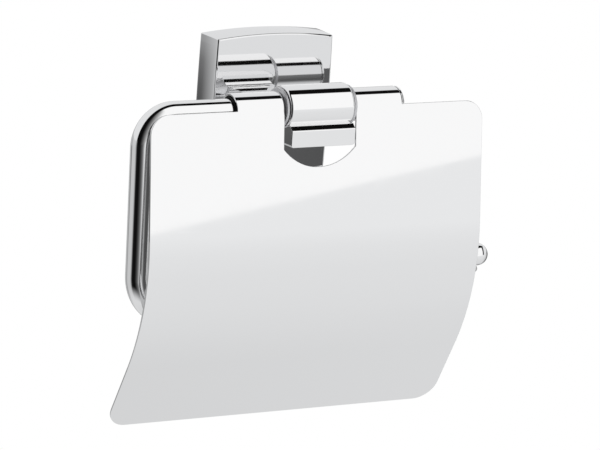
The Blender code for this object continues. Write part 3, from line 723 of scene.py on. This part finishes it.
def make_cover():
    bm = bmesh.new()
    bm.faces.new([bm.verts.new((x, s, 0.0)) for x, s in cover_outline()])
    for s in cut_lines():
        geometry = bm.verts[:] + bm.edges[:] + bm.faces[:]
        bmesh.ops.bisect_plane(bm, geom=geometry, dist=1e-7, plane_co=(0, s, 0), plane_no=(0, 1, 0))
    outer_faces = bm.faces[:]
    rim = [edge for edge in bm.edges if edge.is_boundary]
    inner = {}
    for vert in bm.verts[:]:
        x, s, _ = vert.co
        y, z, lean = cover_section(s)
        vert.co = (x, y, z)
        inner[vert] = bm.verts.new((x, y + SHEET * math.cos(lean), z - SHEET * math.sin(lean)))
    for face in outer_faces:
        bm.faces.new([inner[vert] for vert in reversed(face.verts)])
    for edge in rim:
        first, second = edge.verts
        bm.faces.new((first, second, inner[second], inner[first]))
    cover = mesh_object("cover_sheet", bm)
    soften(cover, SHEET_SOFT_EDGE, 3, 60.0)
    finish_piece(cover, COVER_CHROME, "cover", "cover_plate")


# Small parts


def make_ring(name, stations, body, material, node):
    """A turned ring about the hinge axis, given by the (x, radius) corners of its section."""
    bm = bmesh.new()
    turned(bm, stations, (0, 0, 0), (1, 0, 0), 96, ring=True)
    finish_piece(mesh_object(name, bm), material, body, node)


def sleeve_section(low, high, outer):
    return [
        (low, BUSH_BORE),
        (low, outer - SMALL_CHAMFER),
        (low + SMALL_CHAMFER, outer),
        (high - SMALL_CHAMFER, outer),
        (high, outer - SMALL_CHAMFER),
        (high, BUSH_BORE),
    ]


def cut_flat(cap):
    """The flat in front of the cap's flange, where it lies behind the sheet's top edge."""
    y, z, _ = cover_section(0.0)
    back = y + SHEET + CAP_GAP
    top = z + CAP_GAP
    far = -2 * KNUCKLE_RADIUS
    outline = [(far, far), (back, far), (back, top), (far, top)]
    start = KNUCKLE_OUTER + 0.04 * MM
    bm = bmesh.new()
    prism(bm, outline, side_view(), start, start + KNUCKLE_RADIUS)
    combine(cap, mesh_object("flat_tool", bm), "DIFFERENCE")


def make_knuckle_cap():
    low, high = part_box("right_knuckle_cap")
    flange_in = KNUCKLE_OUTER + CAP_GAP
    flange = KNUCKLE_RADIUS - CAP_SHORT
    sleeve = KNUCKLE_RADIUS - SHEET - CAP_PLAY
    stations = [(low.x, 0.0), (low.x, sleeve), (flange_in, sleeve), (flange_in, flange)]
    rise = high.x - flange_in
    for k in range(13):
        angle = 0.5 * math.pi * k / 12
        along = CAP_RIM + (rise - CAP_RIM) * math.sin(angle)
        stations.append((flange_in + along, flange * math.cos(angle) ** CAP_ROUNDNESS))
    stations[-1] = (high.x, 0.0)
    bm = bmesh.new()
    turned(bm, stations, (0, 0, 0), (1, 0, 0), 96)
    cap = mesh_object("domed_knuckle_cap", bm)
    cut_flat(cap)
    finish_piece(cap, ROD_CHROME, "cover", "right_knuckle_cap")


def make_bumper(node):
    """A rubber nub with a rounded nose, on the inside of the cover."""
    low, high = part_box(node)
    radius = (high.x - low.x) / 2
    centre = ((low.x + high.x) / 2, low.y, (low.z + high.z) / 2)
    length = high.y - low.y
    nose = min(radius, 0.6 * length)
    stations = [(0.0, 0.0), (0.0, radius - 0.1 * MM), (0.1 * MM, radius)]
    for k in range(13):
        angle = 0.5 * math.pi * k / 12
        stations.append((length - nose + nose * math.sin(angle), radius * math.cos(angle)))
    stations[-1] = (length, 0.0)
    bm = bmesh.new()
    turned(bm, stations, centre, (0, 1, 0), 48)
    nub = mesh_object(f"{node}_nub", bm, WORLD_ORIGIN)
    finish_piece(nub, GREY_RUBBER, "cover", node)


def make_rings():
    rings = [
        ("left_barrel_bush", "wall_side", BLACK_NYLON, "black_nylon"),
        ("right_barrel_bush", "wall_side", BLACK_NYLON, "black_nylon"),
        ("left_thrust_washer", "rod", SATIN_STEEL, "plain_steel"),
        ("right_thrust_washer", "rod", SATIN_STEEL, "plain_steel"),
        ("left_outer_bush", "cover", BLACK_NYLON, "black_nylon"),
        ("left_inner_bush", "cover", BLACK_NYLON, "black_nylon"),
        ("right_inner_bush", "cover", BLACK_NYLON, "black_nylon"),
        ("right_outer_bush", "cover", BLACK_NYLON, "black_nylon"),
    ]
    for node, body, material, slot in rings:
        low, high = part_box(node)
        outer = (high.z - low.z) / 2
        make_ring(f"{node}_ring", sleeve_section(low.x, high.x, outer), body, material, node)


def dress_steel_nodes():
    """The hidden steel pieces keep their CAD shapes and get a plated finish."""
    names = ("mounting_plate", "rosette_grub_screw", "arm_bolt", "arm_bolt_washer", "left_locating_pin")
    names += ("right_locating_pin", "axle_grub_screw")
    for name in names:
        obj = frame["nodes"][name]
        obj.data.materials.clear()
        obj.data.materials.append(STEEL)


# Studio


def studio_colour(nodes, direction):
    """Brightness in a direction: a softbox in a black frame ahead, dark left and behind right, else pale."""
    x, y, z = nodes.add("ShaderNodeSeparateXYZ", {"Vector": direction}).outputs

    def along(vector):
        node = nodes.add("ShaderNodeVectorMath", {0: direction, 1: vector}, operation="DOT_PRODUCT")
        return node.outputs["Value"]

    west = nodes.math("MULTIPLY", x, -1.0)
    south = nodes.math("MULTIPLY", y, -1.0)
    turn = nodes.math("ARCTAN2", west, south)
    share = nodes.math("ADD", nodes.math("MULTIPLY", turn, 0.5 / math.pi), 0.5)

    def stop(degrees, level):
        return (degrees / 360.0 + 0.5, level)

    # Brightness of the side walls at and below the horizon, by degrees from straight ahead to the left
    walls = [(-180, 0.55), (-170, 0.60), (-160, 0.52), (-147, 0.15), (-140, 0.10), (-112, 0.10)]
    walls += [(-104, 0.16), (-92, 0.62), (-75, 0.88), (-45, 1.0), (-6, 1.0)]
    walls += [(3, 0.86), (8, 0.62), (13, 0.38), (22, 0.18), (32, 0.085), (42, 0.03), (52, 0.006), (79, 0.01)]
    walls += [(85, 0.16), (91, 0.48), (97, 0.68), (105, 0.74), (121, 0.74), (165, 0.66), (180, 0.55)]
    around = nodes.ramp(share, [stop(*wall) for wall in walls])

    # A dim patch low on the wall behind to the left, by degrees and by height
    dip = [(-180, 0.0), (138, 0.0), (141, 0.11), (145, 0.51), (148, 0.80), (151, 0.80), (155, 0.45)]
    dip += [(166, 0.0)]
    band = [(-0.25, 0.60), (-0.235, 0.84), (-0.222, 1.15), (-0.20, 1.08), (-0.18, 1.0), (-0.165, 0.86)]
    band += [(-0.152, 0.50), (-0.10, 0.43)]
    lowest = -0.30
    lowness = nodes.spread(z, lowest, 0.0, smooth=False)
    strength = nodes.ramp(lowness, [((height - lowest) / -lowest, level) for height, level in band])
    shade = nodes.math("MULTIPLY", nodes.ramp(share, [stop(*part) for part in dip]), strength)
    around = nodes.blend(shade, around, grey(0.0))

    # The same for the softbox above the horizon, which fades to the left
    sides = [(-180, 1.0), (-12, 1.0), (-4, 0.80), (2, 0.56), (12, 0.34), (22, 0.20), (32, 0.10)]
    sides += [(42, 0.035), (52, 0.006), (88, 0.006), (100, 1.0), (180, 1.0)]
    leftward = nodes.ramp(share, [stop(*side) for side in sides])

    # The floor, from its far edge to straight below
    depth = nodes.math("MULTIPLY", z, -1.0)
    floor = [(0.0, 0.86), (0.042, 0.863), (0.122, 0.833), (0.19, 0.812), (0.334, 0.788), (0.47, 0.78)]
    floor += [(0.60, 0.768), (0.73, 0.748), (0.84, 0.722), (1.0, 0.68)]
    ground = nodes.ramp(depth, floor)
    steep = nodes.spread(z, -0.80, -0.45)
    lower_share = nodes.blend(steep, grey(1.0), around)
    lower = nodes.multiply(nodes.multiply(ground, lower_share), (0.985, 0.992, 1.0, 1.0))

    # Above the horizon: the softbox, its black frame, and the pale walls beyond
    in_front = nodes.spread(along((-0.285, 1.0, 0.0)), -0.345, -0.295, 1.0, 0.0)
    in_reach = nodes.spread(x, 0.575, 0.60, 1.0, 0.0)
    box = nodes.math("MULTIPLY", in_front, in_reach)
    behind = nodes.spread(along((-0.19, 0.98, 0.056)), 0.175, 0.225)
    beyond = nodes.math("MAXIMUM", behind, nodes.spread(x, 0.75, 0.79))
    frame_or_wall = nodes.blend(beyond, grey(0.004), (0.785, 0.79, 0.797, 1.0))
    upper = nodes.blend(box, frame_or_wall, nodes.multiply(grey(1.0), leftward))

    # The horizon: sharp and slightly slanted ahead, soft behind
    reach = nodes.math("MAXIMUM", x, 0.30)
    slanted = nodes.math("ADD", nodes.math("SUBTRACT", z, nodes.math("MULTIPLY", reach, 0.235)), 0.1624)
    ahead_rise = nodes.spread(slanted, -0.0004, 0.0004)
    rear_rise = nodes.spread(z, 0.02, 0.10)
    rise = nodes.blend(nodes.spread(y, -0.35, -0.10), ahead_rise, rear_rise)
    return nodes.blend(rise, lower, upper)


def make_world():
    world = bpy.data.worlds.new("studio")
    bpy.context.scene.world = world
    world.use_nodes = True
    nodes = Nodes(world.node_tree)
    colour = studio_colour(nodes, nodes.add("ShaderNodeTexCoord").outputs["Generated"])
    camera_ray = nodes.add("ShaderNodeLightPath").outputs["Is Camera Ray"]
    shown = nodes.blend(camera_ray, colour, grey(1.0))
    background = nodes.add("ShaderNodeBackground", {"Color": shown, "Strength": 1.0})
    output = nodes.add("ShaderNodeOutputWorld")
    nodes.put(output.inputs["Surface"], background.outputs[0])


def make_floor():
    """A round floor well below the holder that glows: pale white to the camera, and in reflections painted
    light and shade, as bright as the studio seen from the holder's middle.
    """
    bm = bmesh.new()
    bmesh.ops.create_circle(bm, cap_ends=True, radius=FLOOR_RADIUS, segments=96)
    floor = mesh_object("glowing_floor", bm, Vector((0.0, 0.0, FLOOR_HEIGHT)))
    material, nodes = new_material("glowing_floor")
    place = nodes.add("ShaderNodeTexCoord").outputs["Object"]
    away = nodes.add("ShaderNodeVectorMath", {0: place, 1: HOLDER_MIDDLE}, operation="SUBTRACT")
    direction = nodes.add("ShaderNodeVectorMath", {0: away.outputs[0]}, operation="NORMALIZE")
    colour = studio_colour(nodes, direction.outputs[0])
    camera_ray = nodes.add("ShaderNodeLightPath").outputs["Is Camera Ray"]
    level = nodes.blend(camera_ray, colour, grey(1.0))
    # Painted light: the floor glows with the studio's light and shade, though it is no lamp.
    glow = nodes.add("ShaderNodeEmission", {"Color": level, "Strength": 1.0})
    output = nodes.add("ShaderNodeOutputMaterial")
    nodes.put(output.inputs["Surface"], glow.outputs[0])
    floor.data.materials.append(material)


def make_lights():
    light = bpy.data.lights.new("softbox", "AREA")
    light.shape = "SQUARE"
    light.size = LAMP_SIZE
    light.energy = LAMP_POWER
    lamp = bpy.data.objects.new("softbox", light)
    lamp.location = PIVOT + LAMP_DIRECTION * LAMP_DISTANCE
    lamp.rotation_euler = LAMP_DIRECTION.to_track_quat("Z", "Y").to_euler()
    lamp.visible_glossy = False
    bpy.context.scene.collection.objects.link(lamp)


def make_camera():
    azimuth, elevation, roll = CAMERA_AZIMUTH, CAMERA_ELEVATION, CAMERA_ROLL
    flat = math.cos(elevation)
    back = Vector((-math.sin(azimuth) * flat, -math.cos(azimuth) * flat, math.sin(elevation)))
    level_right = Vector((math.cos(azimuth), -math.sin(azimuth), 0.0))
    level_up = back.cross(level_right)
    right = level_right * math.cos(roll) + level_up * math.sin(roll)
    up = level_up * math.cos(roll) - level_right * math.sin(roll)
    data = bpy.data.cameras.new("camera")
    data.lens = CAMERA_LENS
    data.sensor_width = CAMERA_SENSOR
    data.clip_start = 0.05
    data.clip_end = 20.0
    camera = bpy.data.objects.new("camera", data)
    turn = Matrix((right, up, back)).transposed().to_4x4()
    place = HOLDER_MIDDLE + back * CAMERA_DISTANCE - right * CAMERA_LEFT + up * CAMERA_UP
    camera.matrix_world = Matrix.Translation(place) @ turn
    bpy.context.scene.collection.objects.link(camera)
    bpy.context.scene.camera = camera


make_camera()
make_world()
make_floor()
make_lights()
bpy.context.scene.view_settings.view_transform = "Standard"

make_rosette()
make_arm()
make_rod()
make_rod_cap()
make_cover()
make_knuckle_cap()
make_bumper("cover_bumper_left")
make_bumper("cover_bumper_right")
make_rings()
dress_steel_nodes()

bpy.context.view_layer.update()
